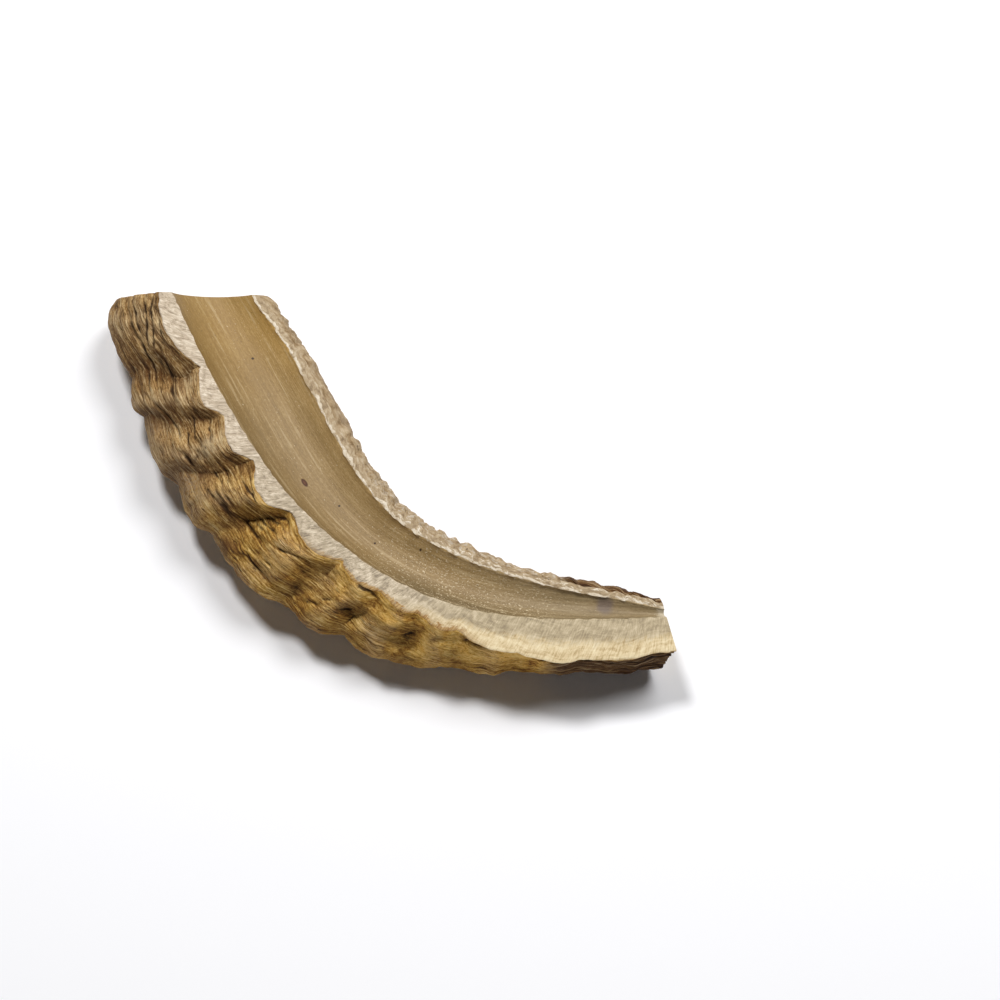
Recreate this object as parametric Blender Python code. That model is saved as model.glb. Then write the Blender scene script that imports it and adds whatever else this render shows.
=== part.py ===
import math

import bmesh
import bpy
import numpy as np
from mathutils import Matrix

# Every length below is in millimetres and every "place" runs from 0 at the
# wide base end of the horn to 1 at the narrow tip end.
MILLIMETRE = 0.001

# Middle line of the open trough, in the plane of the saw cut
AXIS_LENGTH = 157.6
AXIS_START = (-73.8, 48.4)
HEADING_BASE = -61.6
HEADING_TIP = -3.1
BEND_FROM = 0.25
BEND_TO = 0.888

# Widths measured on the sawn face as (place, width)
HALF_OPENING = ((0, 8.8), (0.17, 10.1), (0.35, 9.1), (0.5, 7.1), (0.67, 6.1), (0.83, 3.9), (1, 1.0))
NEAR_WALL = ((0, 3.9), (0.35, 4.4), (0.5, 4.9), (0.65, 6.3), (0.8, 10.6), (0.93, 10.4), (1, 8.6))
FAR_WALL = ((0, 2.1), (0.5, 2.3), (1, 1.9))

# Sizes below the sawn face as (place, size)
DEPTH = ((0, 23.6), (0.25, 22.0), (0.45, 20.3), (0.6, 19.0), (0.75, 16.8), (0.88, 14.6), (1, 13.6))
NEAR_BULGE = ((0, 5.8), (0.15, 13.6), (0.3, 14.0), (0.45, 12.4), (0.6, 7.9), (0.8, -1.2), (1, 0.4))
FAR_BULGE = ((0, 3.4), (0.5, 3.6), (1, 2.2))
TROUGH_DEPTH = ((0, 6.2), (0.5, 5.6), (0.8, 3.4), (1, 1.2))
TROUGH_ROUNDNESS = 1.1
FOOT_OUT = 0.6

# Growth ridges: where each valley meets the sawn edge along the outer wall,
# and how far it has drifted toward the base where the wall is widest
VALLEYS = (
    (-22.0, 4.0),
    (-5.0, 4.0),
    (22.0, 4.0),
    (35.3, 10.6),
    (49.7, 9.3),
    (67.2, 11.5),
    (85.5, 4.5),
    (97.6, 3.5),
    (108.3, 1.0),
    (118.0, 0.5),
    (133.0, 0.0),
    (150.0, 0.0),
    (166.0, 0.0),
    (184.0, 0.0),
)
DRIFT_DEPTH = 16.0
DRIFT_FADES = (0.5, 0.85)
DRIFT_FREE_BASE = 12.0
DRIFT_FREE_TIP = (150.0, 160.0)
RIDGE_HEIGHT = ((0, 3.6), (0.45, 3.8), (0.6, 2.8), (0.8, 1.3), (1, 0.8))
RIDGE_SPACING = 16.0
CREST_AT = 0.62
CREST_SHAPE_AT_RIM = 1.0
CREST_SHAPE_ON_WALL = 1.15
CREST_MIDDLE = 0.6
FAR_SIDE_RIDGES = 0.15

# Down the wall the ridges soften, and their valleys stray a little
RIDGE_FADE = 0.42
WALL_FROM = 1.5
WALL_TO = 11.0
VALLEY_SWAY = 0.9

# Small wrinkles of the inner curve
WRINKLE_SPACING = 6.2
WRINKLE_HEIGHT = 0.8
WRINKLE_WANDER = 3.2

# Pits in the valleys: along the outer wall, down the wall, half length,
# half width and depth
PITS = (
    (18.5, 7.5, 4.5, 3.0, 1.7),
    (41.5, 9.0, 3.5, 3.5, 1.1),
    (61.0, 9.5, 2.8, 5.0, 2.0),
    (80.9, 11.0, 2.6, 4.0, 2.0),
    (93.6, 8.0, 3.0, 3.4, 1.5),
    (107.6, 7.0, 3.0, 3.4, 1.4),
)

# Broad lumps of the weathered skin
LUMP_HEIGHT = 0.35
LUMP_LENGTHS = (23.0, 11.0)

# Flare of the outer wall at the sawn base end
FLARE_HEIGHT = 1.2
FLARE_LENGTH = 9.0
FLARE_DOWN = 16.0
FLARE_WIDTH = 8.0

# Sawn ends: how far each is set back, slant across the width, lean with depth,
# and the share of the length over which the horn straightens out again
BASE_SET_BACK = 2.4
BASE_SLANT = -0.52
BASE_LEAN = 0.48
BASE_BLEND = 0.22
TIP_SET_BACK = 2.6
TIP_SLANT = 0.3
TIP_LEAN = 0.25
TIP_BLEND = 0.1

# Tilt at which the finished piece lies still on a table, in degrees
REST_TILT_ABOUT_X = 0.3
REST_TILT_ABOUT_Y = 4.85

# Mesh fineness
STATIONS = 82
OUTER_COLUMNS = 34
INNER_COLUMNS = 15

HORN_COLOUR = (0.36, 0.22, 0.10, 1.0)
HORN_ROUGHNESS = 0.55


def ease(x):
    x = np.clip(x, 0.0, 1.0)
    return x * x * (3 - 2 * x)


def along(rows, place):
    """Smooth curve through a short list of (place, value) rows."""
    xs = np.array([row[0] for row in rows], float)
    ys = np.array([row[1] for row in rows], float)
    slopes = np.gradient(ys, xs)
    place = np.clip(place, xs[0], xs[-1])
    i = np.clip(np.searchsorted(xs, place, side="right") - 1, 0, len(xs) - 2)
    gap = xs[i + 1] - xs[i]
    s = (place - xs[i]) / gap
    start = (1 + 2 * s) * (1 - s) ** 2 * ys[i] + s * (1 - s) ** 2 * gap * slopes[i]
    end = s * s * (3 - 2 * s) * ys[i + 1] + s * s * (s - 1) * gap * slopes[i + 1]
    return start + end


def middle_line(place):
    """Points and headings of the curved middle line."""
    fine = np.linspace(-0.2, 1.2, 1401)
    bend = ease((fine - BEND_FROM) / (BEND_TO - BEND_FROM))
    heading = np.radians(HEADING_BASE + (HEADING_TIP - HEADING_BASE) * bend)
    between = (heading[1:] + heading[:-1]) / 2
    step = AXIS_LENGTH * np.diff(fine)
    x = np.r_[0, np.cumsum(np.cos(between) * step)]
    y = np.r_[0, np.cumsum(np.sin(between) * step)]
    x += AXIS_START[0] - np.interp(0, fine, x)
    y += AXIS_START[1] - np.interp(0, fine, y)
    points = np.stack([np.interp(place, fine, x), np.interp(place, fine, y)], -1)
    return points, np.interp(place, fine, heading)


def curve(a, b, c, d):
    s = np.linspace(0, 1, 40)[:, None]
    return (1 - s) ** 3 * a + 3 * s * (1 - s) ** 2 * b + 3 * s * s * (1 - s) * c + s ** 3 * d


def evenly(points, count):
    """Equally spaced points on a polyline, with their distance from its start."""
    run = np.r_[0, np.cumsum(np.hypot(*np.diff(points, axis=0).T))]
    grid = np.linspace(0, run[-1], count)
    return np.stack([np.interp(grid, run, points[:, k]) for k in (0, 1)], -1), grid


def outer_section(near, far, depth, bulge, far_bulge, count):
    """Outside of the horn in section, from the near rim round to the far rim."""
    top = np.array([near, 0.0])
    wide = np.array([near + bulge, -0.6 * depth])
    low = np.array([(near - far) / 2 + FOOT_OUT * bulge, -depth])
    wide_far = np.array([-far - far_bulge, -0.45 * depth])
    end = np.array([-far, 0.0])
    shoulder = curve(top, top + (0.6 * bulge, -0.26 * depth), wide + (0, 0.17 * depth), wide)
    reach = 0.6 * (wide - low)[0]
    belly = curve(wide, wide - (0, 0.26 * depth), low + (reach, 0), low)
    reach = 0.55 * (wide_far - low)[0]
    back = curve(low, low + (reach, 0), wide_far - (0, 0.3 * depth), wide_far)
    rise = curve(wide_far, wide_far + (0, 0.26 * depth), end - (0.85 * far_bulge, 0.05 * depth), end)
    return evenly(np.concatenate([shoulder, belly[1:], back[1:], rise[1:]]), count)


def trough_section(half, depth, count):
    """Inside of the trough in section, from the near rim to the far rim."""
    turn = np.linspace(0, np.pi, 200)
    points = np.stack([half * np.cos(turn), -depth * np.sin(turn) ** TROUGH_ROUNDNESS], -1)
    return evenly(points, count)[0]


def drift_share(down, share):
    """How much of its drift a valley has made, from the near rim round to the far one."""
    fade_from, fade_to = DRIFT_FADES
    return np.clip(down / DRIFT_DEPTH, 0, 1) * (1 - ease((share - fade_from) / (fade_to - fade_from)))


def drift_at(run):
    """Drift of a line that starts at the near rim, none close to the sawn ends."""
    rims = [valley[0] for valley in VALLEYS]
    drifts = [valley[1] for valley in VALLEYS]
    tip_from, tip_to = DRIFT_FREE_TIP
    fade = ease(run / DRIFT_FREE_BASE) * (1 - ease((run - tip_from) / (tip_to - tip_from)))
    return np.interp(run, rims, drifts) * fade


def on_wall(down):
    """0 at the sawn edge, 1 where the ridges have softened on the wall."""
    return ease((down - WALL_FROM) / (WALL_TO - WALL_FROM))


def valley_sway(rim_run, down):
    """How far a valley strays from its straight way down the wall."""
    sway = np.sin(down / 2.7 + rim_run / 6.0) + 0.8 * np.sin(down / 5.3 - rim_run / 13.0)
    return VALLEY_SWAY * sway * ease((down - 0.8) / 4.0)


def ridges(rim_run, down):
    """Ridge profile, 0 in a valley and 1 on a crest, with the local spacing."""
    rims = np.array([valley[0] for valley in VALLEYS])
    swayed = rim_run + valley_sway(rim_run, down)
    i = np.clip(np.searchsorted(rims, swayed, side="right") - 1, 0, len(rims) - 2)
    spacing = rims[i + 1] - rims[i]
    x = (swayed - rims[i]) / spacing
    x = np.where(x < CREST_AT, 0.5 * x / CREST_AT, 0.5 + 0.5 * (x - CREST_AT) / (1 - CREST_AT))
    shape = CREST_SHAPE_AT_RIM + (CREST_SHAPE_ON_WALL - CREST_SHAPE_AT_RIM) * on_wall(down)
    return np.sin(np.pi * np.clip(x, 0, 1)) ** shape, spacing


def wrinkles(run, back_run):
    """Fine uneven wrinkles, used near the far rim."""
    phase = run / WRINKLE_SPACING + WRINKLE_WANDER * np.sin(run / 17.0) / WRINKLE_SPACING
    uneven = 0.75 + 0.25 * np.sin(run / 9.0 + 1.0)
    return np.abs(np.sin(np.pi * (phase + 0.03 * back_run))) * uneven


def lumps(run, down):
    long_wave, short_wave = LUMP_LENGTHS
    broad = np.sin(2 * np.pi * run / long_wave + 0.9) * np.sin(2 * np.pi * down / long_wave + 0.4)
    small = np.sin(2 * np.pi * (run + down) / short_wave) * np.sin(2 * np.pi * (run - down) / short_wave)
    return broad + 0.6 * small


def pits(run, down):
    total = np.zeros(run.shape)
    for at, below, half_length, half_width, depth in PITS:
        far_off = ((run - at) / half_length) ** 2 + ((down - below) / half_width) ** 2
        total += depth * np.exp(-far_off)
    return total


def flare(run, down):
    return FLARE_HEIGHT * np.exp(-(run / FLARE_LENGTH) ** 2 - ((down - FLARE_DOWN) / FLARE_WIDTH) ** 2)


def section_normals(profile):
    """Outward directions of each section, kept level at both rims."""
    step = np.gradient(profile, axis=1)
    normal = np.stack([-step[..., 1], step[..., 0]], -1)
    return normal * np.sign(normal[0, 0, 0])


def horn_sections(place, columns):
    """Plain sections of the outside, with their outward directions and wall distances."""
    half = along(HALF_OPENING, place)
    near = half + along(NEAR_WALL, place)
    far = half + along(FAR_WALL, place)
    sizes = zip(near, far, along(DEPTH, place), along(NEAR_BULGE, place), along(FAR_BULGE, place))
    sections = [outer_section(*size, columns) for size in sizes]
    profile = np.array([section[0] for section in sections])
    down = np.array([section[1] for section in sections])
    normal = section_normals(profile)
    normal[..., 1] *= ease(down / 6.0) * ease((down[:, -1:] - down) / 5.0)
    normal /= np.linalg.norm(normal, axis=-1, keepdims=True)
    return profile, normal, down, near


def at_places(fine, table, place):
    """Each column of a finely spaced table, read at that column's own places."""
    flat = table.reshape(len(fine), table.shape[1], -1)
    read = np.empty(place.shape + flat.shape[2:])
    for j in range(table.shape[1]):
        for k in range(flat.shape[2]):
            read[:, j, k] = np.interp(place[:, j], fine, flat[:, j, k])
    return read.reshape(place.shape + table.shape[2:])


def lay_along(grid, place):
    """Points of sections carried along the middle line, slanted at both sawn ends."""
    centre, heading = middle_line(place)
    ahead = np.stack([np.cos(heading), np.sin(heading)], -1)
    sideways = np.stack([np.sin(heading), -np.cos(heading)], -1)
    base = BASE_SET_BACK + BASE_SLANT * grid[..., 0] + BASE_LEAN * grid[..., 1]
    tip = TIP_SLANT * grid[..., 0] + TIP_LEAN * grid[..., 1] - TIP_SET_BACK
    slide = base * (1 - ease(place / BASE_BLEND)) + tip * (1 - ease((1 - place) / TIP_BLEND))
    flat = centre + sideways * grid[..., :1] + ahead * slide[..., None]
    return np.concatenate([flat, grid[..., 1:]], -1)


def horn_surfaces():
    """Grids of points of the outside and of the trough."""
    fine = np.linspace(0, 1, 5 * STATIONS)
    profile, normal, down, near = horn_sections(fine, OUTER_COLUMNS)
    centre, heading = middle_line(fine)
    edge = centre + np.stack([np.sin(heading), -np.cos(heading)], -1) * near[:, None]
    edge_run = np.r_[0, np.cumsum(np.hypot(*np.diff(edge, axis=0).T))]
    share = down / down[:, -1:]

    stations = np.linspace(0, 1, STATIONS)
    rim_run = np.interp(stations, fine, edge_run)[:, None] + 0 * profile[:STATIONS, :, 0]
    plain = stations[:, None] + 0 * profile[:STATIONS, :, 0]
    drift = drift_share(at_places(fine, down, plain), at_places(fine, share, plain))
    run = rim_run - drift_at(rim_run) * drift
    place = np.interp(run, edge_run, fine)
    profile, normal, down = [at_places(fine, table, place) for table in (profile, normal, down)]
    share = np.linspace(0, 1, OUTER_COLUMNS)[None] + 0 * run
    up_back = down[:, -1:] - down

    wave, spacing = ridges(rim_run, down)
    near_side = 1 - (1 - FAR_SIDE_RIDGES) * ease((share - 0.45) / 0.3)
    height = along(RIDGE_HEIGHT, place) * np.clip(spacing / RIDGE_SPACING, 0.5, 1.3)
    relief = height * near_side * (1 - CREST_MIDDLE - (1 - wave) * (1 - RIDGE_FADE * on_wall(down)))
    relief += WRINKLE_HEIGHT * ease((share - 0.7) / 0.15) * (wrinkles(run, up_back) - 0.6)
    relief += LUMP_HEIGHT * lumps(run, down) * ease(down / 8.0) * ease(up_back / 8.0)
    relief += flare(run, down)
    relief -= pits(run, down)
    outside = lay_along(profile + normal * relief[..., None], place)

    troughs = zip(along(HALF_OPENING, stations), along(TROUGH_DEPTH, stations))
    inside = np.array([trough_section(*size, INNER_COLUMNS) for size in troughs])
    return outside, lay_along(inside, stations[:, None] + 0 * inside[..., 0])


def horn_mesh(name):
    """Closed mesh: outside, trough, both sawn rims and both sawn ends."""
    outside, inside = horn_surfaces()
    rings = np.concatenate([outside, inside[:, ::-1]], axis=1) * MILLIMETRE
    shape = bmesh.new()
    grid = [[shape.verts.new(point) for point in ring] for ring in rings]
    around = len(grid[0])
    rims = (OUTER_COLUMNS - 1, around - 1)
    for here, there in zip(grid[:-1], grid[1:]):
        for j in range(around):
            k = (j + 1) % around
            face = shape.faces.new((here[j], here[k], there[k], there[j]))
            face.smooth = True
            for edge in face.edges if j in rims else ():
                edge.smooth = False
    for end in (shape.faces.new(grid[0]), shape.faces.new(grid[-1])):
        for edge in end.edges:
            edge.smooth = False
    bmesh.ops.recalc_face_normals(shape, faces=shape.faces)
    mesh = bpy.data.meshes.new(name)
    shape.to_mesh(mesh)
    shape.free()
    return mesh


def lay_down(mesh):
    """Turn the piece to its resting tilt and set it on the ground at the origin."""
    tilt = Matrix.Rotation(math.radians(REST_TILT_ABOUT_Y), 4, "Y")
    tilt = tilt @ Matrix.Rotation(math.radians(REST_TILT_ABOUT_X), 4, "X")
    mesh.transform(tilt)
    corners = np.array([vertex.co[:] for vertex in mesh.vertices])
    low = corners.min(axis=0)
    high = corners.max(axis=0)
    mesh.transform(Matrix.Translation((-(low[0] + high[0]) / 2, -(low[1] + high[1]) / 2, -low[2])))


def horn_material():
    material = bpy.data.materials.new("horn")
    material.use_nodes = True
    shader = material.node_tree.nodes["Principled BSDF"]
    shader.inputs["Base Color"].default_value = HORN_COLOUR
    shader.inputs["Roughness"].default_value = HORN_ROUGHNESS
    return material


def build_horn():
    mesh = horn_mesh("horn")
    lay_down(mesh)
    mesh.materials.append(horn_material())
    horn = bpy.data.objects.new("horn", mesh)
    bpy.context.scene.collection.objects.link(horn)
    return horn


for old in list(bpy.data.objects):
    bpy.data.objects.remove(old, do_unlink=True)
build_horn()
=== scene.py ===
# %% [markdown]
# # A length of ram's horn, split with a saw
# The object is one piece of dry horn: a curved, hollow length that was sawn in
# half along its middle. Its outer curve is ridged and fibrous, the two sawn rims
# are pale and flat, and between them lies a smooth trough.
#
# The imported model is loaded first. It gives the room that the finished look has
# to keep to.

import math

import bpy
import numpy as np
from mathutils import Matrix, Vector


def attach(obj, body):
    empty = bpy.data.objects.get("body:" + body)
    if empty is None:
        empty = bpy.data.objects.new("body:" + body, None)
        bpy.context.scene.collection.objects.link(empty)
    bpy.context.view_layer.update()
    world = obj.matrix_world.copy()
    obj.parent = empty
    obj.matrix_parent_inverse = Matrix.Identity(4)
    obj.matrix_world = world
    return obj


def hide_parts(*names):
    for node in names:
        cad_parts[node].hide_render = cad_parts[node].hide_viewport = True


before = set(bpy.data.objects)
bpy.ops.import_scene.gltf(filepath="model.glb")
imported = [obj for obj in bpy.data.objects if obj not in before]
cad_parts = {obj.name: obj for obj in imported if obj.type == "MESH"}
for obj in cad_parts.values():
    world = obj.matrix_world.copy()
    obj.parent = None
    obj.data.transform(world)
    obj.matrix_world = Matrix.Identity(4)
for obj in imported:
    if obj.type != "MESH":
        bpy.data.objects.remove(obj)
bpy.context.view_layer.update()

# %% [markdown]
# ## The camera, the floor and the light
# The photograph looks down on the horn from the front, about 62 degrees above
# the table, with the narrow end to the right. The camera is made before the horn
# so that every later render can be laid beside the photograph. The lens is a
# little long, as for a product picture, and the camera aims at a point on the
# table so that the horn falls where it lies in the frame.

# %% Camera
CAMERA_HEIGHT_ANGLE = math.radians(62.2)
CAMERA_DISTANCE = 0.592
LOOK_AT = Vector((0.0292, -0.0025, 0.0011))

away = Vector((0, -math.cos(CAMERA_HEIGHT_ANGLE), math.sin(CAMERA_HEIGHT_ANGLE)))
camera_data = bpy.data.cameras.new("camera")
camera_data.lens = 85
camera_data.sensor_width = 36
camera_data.clip_start = 0.01
camera = bpy.data.objects.new("camera", camera_data)
camera.location = LOOK_AT + CAMERA_DISTANCE * away
camera.rotation_mode = "QUATERNION"
camera.rotation_quaternion = (-away).to_track_quat("-Z", "Y")
bpy.context.scene.collection.objects.link(camera)
bpy.context.scene.camera = camera
print("camera at", [round(x, 3) for x in camera.location])

# %% [markdown]
# The horn lies on white paper with two soft windows behind it, one on the left
# and one on the right. Their shadows fall toward the viewer and overlap in a dark
# core, with light grey where only one window is hidden. A low card in front
# bounces light back onto the ridged wall, and an almost black world keeps the
# core dark. The colours are shown as they are, without a film curve.

# %% Floor and lamps
FLOOR_REACH = 3.0
PAPER_WHITE = (0.95, 0.95, 0.97, 1)
# name, place, size and power
LAMPS = (
    ("left_window", (-0.22, 0.40, 0.88), 0.22, 6.4),
    ("right_window", (0.42, 0.34, 0.80), 0.50, 6.3),
    ("bounce_card", (-0.25, -1.10, 0.24), 0.7, 2.1),
)
ROOM_GLOW = 0.02


def set_down_floor():
    corners = [(FLOOR_REACH * x, FLOOR_REACH * y, 0) for x, y in ((-1, -1), (1, -1), (1, 1), (-1, 1))]
    mesh = bpy.data.meshes.new("floor")
    mesh.from_pydata(corners, [], [(0, 1, 2, 3)])
    paper = bpy.data.materials.new("white_paper")
    paper.use_nodes = True
    shader = paper.node_tree.nodes["Principled BSDF"]
    shader.inputs["Base Color"].default_value = PAPER_WHITE
    shader.inputs["Roughness"].default_value = 0.9
    shader.inputs["Specular IOR Level"].default_value = 0.1
    mesh.materials.append(paper)
    floor = bpy.data.objects.new("floor", mesh)
    bpy.context.scene.collection.objects.link(floor)


def hang_lamp(name, place, size, power):
    """A round lamp that shines on the middle of the table."""
    lamp = bpy.data.lights.new(name, "AREA")
    lamp.shape = "DISK"
    lamp.size = size
    lamp.energy = power
    held = bpy.data.objects.new(name, lamp)
    held.location = place
    held.rotation_mode = "QUATERNION"
    held.rotation_quaternion = (-Vector(place)).to_track_quat("-Z", "Y")
    bpy.context.scene.collection.objects.link(held)


set_down_floor()
for lamp_row in LAMPS:
    hang_lamp(*lamp_row)
world = bpy.data.worlds.new("dim_room")
world.use_nodes = True
world.node_tree.nodes["Background"].inputs["Color"].default_value = (1, 1, 1, 1)
world.node_tree.nodes["Background"].inputs["Strength"].default_value = ROOM_GLOW
bpy.context.scene.world = world
bpy.context.scene.view_settings.view_transform = "Standard"
print("lamps:", sorted(light.name for light in bpy.data.lights))

# %% [markdown]
# ## The form of the horn
# A horn grows as a cone that bends, so it is drawn as many cross-sections
# carried along a curved middle line. Sculpting by hand would be the other way,
# but a formula keeps every ridge where it was measured and can be made as fine
# as the surface needs. A "place" runs from 0 at the wide base end to 1 at the
# narrow tip end, and all lengths are in millimetres. Each measure is a short list
# of rows, a place and its value, and a smooth curve is drawn through them.

# %% Measured lengths of the horn
MILLIMETRE = 0.001
AXIS_LENGTH = 157.6
AXIS_START = (-73.8, 48.4)
HEADINGS = (-61.6, -3.1)
BEND = (0.25, 0.888)

HALF_OPENING = ((0, 8.8), (0.17, 10.1), (0.35, 9.1), (0.5, 7.1), (0.67, 6.1), (0.83, 3.9), (1, 1.0))
NEAR_WALL = ((0, 3.9), (0.35, 4.4), (0.5, 4.9), (0.65, 6.3), (0.8, 10.6), (0.93, 10.4), (1, 8.6))
FAR_WALL = ((0, 2.1), (0.5, 2.3), (1, 1.9))
DEPTH = ((0, 23.6), (0.25, 22.0), (0.45, 20.3), (0.6, 19.0), (0.75, 16.8), (0.88, 14.6), (1, 13.6))
NEAR_BULGE = ((0, 5.8), (0.15, 13.6), (0.3, 14.0), (0.45, 12.4), (0.6, 7.9), (0.8, -1.2), (1, 0.4))
FAR_BULGE = ((0, 3.4), (0.5, 3.6), (1, 2.2))
TROUGH_DEPTH = ((0, 5.0), (0.5, 4.4), (0.8, 2.7), (1, 1.0))
TROUGH_ROUNDNESS = 1.5
FOOT_OUT = 0.6
WIDEST_DOWN, FAR_WIDEST_DOWN = 0.6, 0.45


def ease(x):
    x = np.clip(x, 0.0, 1.0)
    return x * x * (3 - 2 * x)


def rise(x, start, over):
    """0 up to the start, then smoothly up to 1 over that much."""
    return ease((x - start) / over)


def along(rows, place):
    """Smooth curve through a short list of (place, value) rows."""
    xs = np.array([row[0] for row in rows], float)
    ys = np.array([row[1] for row in rows], float)
    slopes = np.gradient(ys, xs)
    place = np.clip(place, xs[0], xs[-1])
    i = np.clip(np.searchsorted(xs, place, side="right") - 1, 0, len(xs) - 2)
    gap = xs[i + 1] - xs[i]
    s = (place - xs[i]) / gap
    start = (1 + 2 * s) * (1 - s) ** 2 * ys[i] + s * (1 - s) ** 2 * gap * slopes[i]
    end = s * s * (3 - 2 * s) * ys[i + 1] + s * s * (s - 1) * gap * slopes[i + 1]
    return start + end


print("trough width, base to tip:", [round(2 * along(HALF_OPENING, p), 1) for p in (0, 0.5, 1)])

# %% [markdown]
# The middle line lies in the plane of the saw cut. It leaves the base straight,
# bends through the middle and runs out nearly level to the tip. Summing small
# steps along a changing heading draws it without any fitted curve.

# %% The bent middle line


def middle_line(place):
    """Points and headings of the curved middle line."""
    fine = np.linspace(-0.2, 1.2, 1401)
    bend = ease((fine - BEND[0]) / (BEND[1] - BEND[0]))
    heading = np.radians(HEADINGS[0] + (HEADINGS[1] - HEADINGS[0]) * bend)
    between = (heading[1:] + heading[:-1]) / 2
    step = AXIS_LENGTH * np.diff(fine)
    x = np.r_[0, np.cumsum(np.cos(between) * step)]
    y = np.r_[0, np.cumsum(np.sin(between) * step)]
    x += AXIS_START[0] - np.interp(0, fine, x)
    y += AXIS_START[1] - np.interp(0, fine, y)
    points = np.stack([np.interp(place, fine, x), np.interp(place, fine, y)], -1)
    return points, np.interp(place, fine, heading)


print("middle line ends, mm:", middle_line(np.array([0.0, 1.0]))[0].round(1).tolist())

# %% [markdown]
# Each section has an outside and a trough. The outside is four soft curves: over
# the shoulder, down the belly, under the back and up to the thin far rim. The
# handles of each curve are shares of the depth and of the bulge, so a section
# keeps its character as the horn narrows. The trough is a touch shallower than
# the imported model's, which suits the light on it. Points are set along it at chosen
# shares of its length, close together on the wall that faces the viewer, where
# fibres and cracks have to show.

# %% Cross-sections


def curve(a, b, c, d):
    s = np.linspace(0, 1, 40)[:, None]
    return (1 - s) ** 3 * a + 3 * s * (1 - s) ** 2 * b + 3 * s * s * (1 - s) * c + s ** 3 * d


def set_out(points, shares):
    """Points at these shares of a polyline's length, and their distance from its start."""
    run = np.r_[0, np.cumsum(np.hypot(*np.diff(points, axis=0).T))]
    runs = shares * run[-1]
    return np.stack([np.interp(runs, run, points[:, k]) for k in (0, 1)], -1), runs


def outer_section(near, far, depth, bulge, far_bulge, shares):
    """Half widths, depth and bulges in, and points from the near rim round to the far one out."""
    top = np.array([near, 0.0])
    wide = np.array([near + bulge, -WIDEST_DOWN * depth])
    low = np.array([(near - far) / 2 + FOOT_OUT * bulge, -depth])
    wide_far = np.array([-far - far_bulge, -FAR_WIDEST_DOWN * depth])
    end = np.array([-far, 0.0])
    shoulder = curve(top, top + (0.6 * bulge, -0.26 * depth), wide + (0, 0.17 * depth), wide)
    reach = 0.6 * (wide - low)[0]
    belly = curve(wide, wide - (0, 0.26 * depth), low + (reach, 0), low)
    reach = 0.55 * (wide_far - low)[0]
    back = curve(low, low + (reach, 0), wide_far - (0, 0.3 * depth), wide_far)
    rise = curve(wide_far, wide_far + (0, 0.26 * depth), end - (0.85 * far_bulge, 0.05 * depth), end)
    return set_out(np.concatenate([shoulder, belly[1:], back[1:], rise[1:]]), shares)


def trough_section(half, depth, shares):
    turn = np.linspace(0, np.pi, 200)
    points = np.stack([half * np.cos(turn), -depth * np.sin(turn) ** TROUGH_ROUNDNESS], -1)
    return set_out(points, shares)


STATIONS = 400
FACING_COLUMNS = 105
HIDDEN_COLUMNS = 50
FACING_SHARE = 0.40
TROUGH_COLUMNS = 40

outer_shares = np.r_[
    np.linspace(0, FACING_SHARE, FACING_COLUMNS, endpoint=False),
    np.linspace(FACING_SHARE, 1, HIDDEN_COLUMNS),
]
trough_shares = np.linspace(0, 1, TROUGH_COLUMNS)
print("points round a section:", len(outer_shares), "outside and", len(trough_shares), "in the trough")

# %% [markdown]
# ## Ridges that drift
# The growth ridges don't cross the wall square on: each valley starts at the
# sawn edge and slips back toward the base as it goes down the wall. If the grid
# of points stayed square, the valleys would cut across it in steps, so the
# stations themselves lean with the valleys. The crests are a little lower at the
# sawn edge, where they have been rubbed, than further down.

# %% Valleys and how they lean
# where each valley meets the sawn edge, its drift, and how dark its painted shade is
VALLEYS = (
    (-22.0, 4.0, 0.3),
    (-5.0, 4.0, 0.3),
    (22.0, 4.0, 1.0),
    (35.3, 10.6, 0.9),
    (49.7, 9.3, 0.9),
    (67.2, 11.5, 0.6),
    (85.5, 4.5, 0.6),
    (97.6, 3.5, 0.55),
    (108.3, 1.0, 0.6),
    (118.0, 0.5, 0.45),
    (133.0, 0.0, 0.2),
    (150.0, 0.0, 0.3),
    (166.0, 0.0, 0.3),
    (184.0, 0.0, 0.3),
)
DRIFT_DEPTH = 16.0
DRIFT_FADES = (0.5, 0.85)
DRIFT_FREE_BASE = 12.0
DRIFT_FREE_TIP = (150.0, 160.0)
RIDGE_HEIGHT = ((0, 3.6), (0.45, 3.8), (0.6, 2.8), (0.8, 1.3), (1, 0.8))
RIDGE_SPACING = 16.0
CREST_AT = 0.62
CREST_SHAPE = (1.3, 1.15)
RIM_SOFTENING = 0.2
CREST_MIDDLE = 0.6
RIDGE_FADE = 0.42
WALL_FROM, WALL_TO = 1.5, 11.0
FAR_SIDE_RIDGES = 0.15
VALLEY_SWAY = 0.9

valley_rims = np.array([valley[0] for valley in VALLEYS])


def drift_share(down, share):
    fade_from, fade_to = DRIFT_FADES
    return np.clip(down / DRIFT_DEPTH, 0, 1) * (1 - ease((share - fade_from) / (fade_to - fade_from)))


def drift_at(run):
    tip_from, tip_to = DRIFT_FREE_TIP
    fade = ease(run / DRIFT_FREE_BASE) * (1 - ease((run - tip_from) / (tip_to - tip_from)))
    return np.interp(run, valley_rims, [valley[1] for valley in VALLEYS]) * fade


def between_valleys(rim_run):
    """Which valley lies before each line, the share of the way to the next, and the spacing."""
    i = np.clip(np.searchsorted(valley_rims, rim_run, side="right") - 1, 0, len(valley_rims) - 2)
    spacing = valley_rims[i + 1] - valley_rims[i]
    return i, (rim_run - valley_rims[i]) / spacing, spacing


def on_wall(down):
    """0 at the sawn edge, 1 where the ridges have softened on the wall."""
    return ease((down - WALL_FROM) / (WALL_TO - WALL_FROM))


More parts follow.
